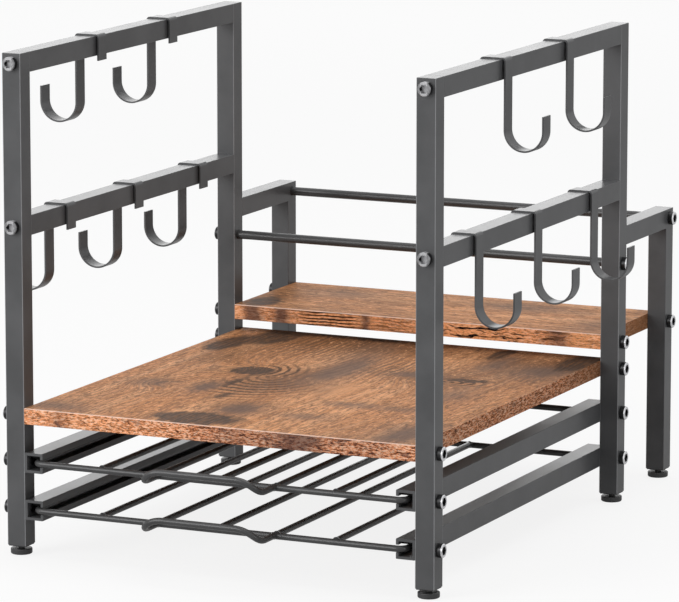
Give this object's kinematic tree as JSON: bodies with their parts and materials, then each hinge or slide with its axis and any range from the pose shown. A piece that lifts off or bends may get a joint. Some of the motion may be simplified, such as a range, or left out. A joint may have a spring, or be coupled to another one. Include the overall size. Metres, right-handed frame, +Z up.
{
  "type": "coffee station organizer",
  "caption": "Countertop coffee station organizer: a square-tube stand with board platform, rear shelf, sliding wire trays and J hooks on both sides.",
  "frame": {"origin": "centre of the bounding box, on the plane under the feet", "axes": "+Z up, +Y from the pull-out side to the rear shelf, +X to the right when facing the pulls"},
  "size_m": [0.4122, 0.5004, 0.3765],
  "materials": {
    "coated_tube": "satin powder coat",
    "coated_channel": "satin powder coat",
    "coated_wire": "satin powder coat",
    "coated_hook": "satin powder coat",
    "board": "rustic brown board, matt",
    "screw_steel": "blackened steel, worn rims",
    "stem_steel": "blackened thread",
    "foot_plastic": "matt moulded",
    "black_plastic": "matt moulded"
  },
  "bodies": {
    "frame": {"leg_front_left": "coated_tube", "leg_rear_left": "coated_tube", "leg_front_right": "coated_tube", "leg_rear_right": "coated_tube", "top_rail_left": "coated_tube", "hook_rail_left": "coated_tube", "rear_bracket_left": "coated_tube", "top_rail_right": "coated_tube", "hook_rail_right": "coated_tube", "rear_bracket_right": "coated_tube", "rail_plugs": "black_plastic", "foot_plugs": "black_plastic", "main_board": "board", "rear_shelf": "board", "channel_upper_left": "coated_channel", "channel_lower_left": "coated_channel", "channel_upper_right": "coated_channel", "channel_lower_right": "coated_channel", "lower_rod": "coated_wire", "upper_rod": "coated_wire", "rod_nuts": "screw_steel", "rail_screws": "screw_steel", "channel_screws": "screw_steel", "main_board_screws": "screw_steel", "rear_shelf_screws": "screw_steel"},
    "tray_upper": {"tray_upper_frame": "coated_wire", "tray_upper_cross_wires": "coated_wire", "tray_upper_handle": "coated_wire"},
    "tray_lower": {"tray_lower_frame": "coated_wire", "tray_lower_cross_wires": "coated_wire", "tray_lower_handle": "coated_wire"},
    "hook_top_front_left": {"hook_top_front_left": "coated_hook"},
    "hook_top_rear_left": {"hook_top_rear_left": "coated_hook"},
    "hook_rail_front_left": {"hook_rail_front_left": "coated_hook"},
    "hook_rail_middle_left": {"hook_rail_middle_left": "coated_hook"},
    "hook_rail_rear_left": {"hook_rail_rear_left": "coated_hook"},
    "hook_top_front_right": {"hook_top_front_right": "coated_hook"},
    "hook_top_rear_right": {"hook_top_rear_right": "coated_hook"},
    "hook_rail_front_right": {"hook_rail_front_right": "coated_hook"},
    "hook_rail_middle_right": {"hook_rail_middle_right": "coated_hook"},
    "hook_rail_rear_right": {"hook_rail_rear_right": "coated_hook"},
    "foot_front_left": {"foot_pad_front_left": "foot_plastic", "foot_stem_front_left": "stem_steel"},
    "foot_middle_left": {"foot_pad_middle_left": "foot_plastic", "foot_stem_middle_left": "stem_steel"},
    "foot_rear_left": {"foot_pad_rear_left": "foot_plastic", "foot_stem_rear_left": "stem_steel"},
    "foot_front_right": {"foot_pad_front_right": "foot_plastic", "foot_stem_front_right": "stem_steel"},
    "foot_middle_right": {"foot_pad_middle_right": "foot_plastic", "foot_stem_middle_right": "stem_steel"},
    "foot_rear_right": {"foot_pad_rear_right": "foot_plastic", "foot_stem_rear_right": "stem_steel"}
  },
  "joints": [
    {"name": "tray_upper_slide", "type": "slide", "parent": "frame", "child": "tray_upper", "axis": [0, -1, 0], "range_m": [0, 0.29]},
    {"name": "tray_lower_slide", "type": "slide", "parent": "frame", "child": "tray_lower", "axis": [0, -1, 0], "range_m": [0, 0.29]},
    {"name": "hook_top_front_left_slide", "type": "slide", "parent": "frame", "child": "hook_top_front_left", "axis": [0, 1, 0], "range_m": [-0.102, 0.0515]},
    {"name": "hook_top_rear_left_slide", "type": "slide", "parent": "frame", "child": "hook_top_rear_left", "axis": [0, 1, 0], "range_m": [-0.0515, 0.102]},
    {"name": "hook_rail_front_left_slide", "type": "slide", "parent": "frame", "child": "hook_rail_front_left", "axis": [0, 1, 0], "range_m": [-0.0505, 0.0475]},
    {"name": "hook_rail_middle_left_slide", "type": "slide", "parent": "frame", "child": "hook_rail_middle_left", "axis": [0, 1, 0], "range_m": [-0.0475, 0.0475]},
    {"name": "hook_rail_rear_left_slide", "type": "slide", "parent": "frame", "child": "hook_rail_rear_left", "axis": [0, 1, 0], "range_m": [-0.0475, 0.0505]},
    {"name": "hook_top_front_right_slide", "type": "slide", "parent": "frame", "child": "hook_top_front_right", "axis": [0, 1, 0], "range_m": [-0.102, 0.0515]},
    {"name": "hook_top_rear_right_slide", "type": "slide", "parent": "frame", "child": "hook_top_rear_right", "axis": [0, 1, 0], "range_m": [-0.0515, 0.102]},
    {"name": "hook_rail_front_right_slide", "type": "slide", "parent": "frame", "child": "hook_rail_front_right", "axis": [0, 1, 0], "range_m": [-0.0505, 0.0475]},
    {"name": "hook_rail_middle_right_slide", "type": "slide", "parent": "frame", "child": "hook_rail_middle_right", "axis": [0, 1, 0], "range_m": [-0.0475, 0.0475]},
    {"name": "hook_rail_rear_right_slide", "type": "slide", "parent": "frame", "child": "hook_rail_rear_right", "axis": [0, 1, 0], "range_m": [-0.0475, 0.0505]},
    {"name": "foot_front_left_level", "type": "slide", "parent": "frame", "child": "foot_front_left", "axis": [0, 0, -1], "range_m": [0, 0.005]},
    {"name": "foot_middle_left_level", "type": "slide", "parent": "frame", "child": "foot_middle_left", "axis": [0, 0, -1], "range_m": [0, 0.005]},
    {"name": "foot_rear_left_level", "type": "slide", "parent": "frame", "child": "foot_rear_left", "axis": [0, 0, -1], "range_m": [0, 0.005]},
    {"name": "foot_front_right_level", "type": "slide", "parent": "frame", "child": "foot_front_right", "axis": [0, 0, -1], "range_m": [0, 0.005]},
    {"name": "foot_middle_right_level", "type": "slide", "parent": "frame", "child": "foot_middle_right", "axis": [0, 0, -1], "range_m": [0, 0.005]},
    {"name": "foot_rear_right_level", "type": "slide", "parent": "frame", "child": "foot_rear_right", "axis": [0, 0, -1], "range_m": [0, 0.005]}
  ]
}
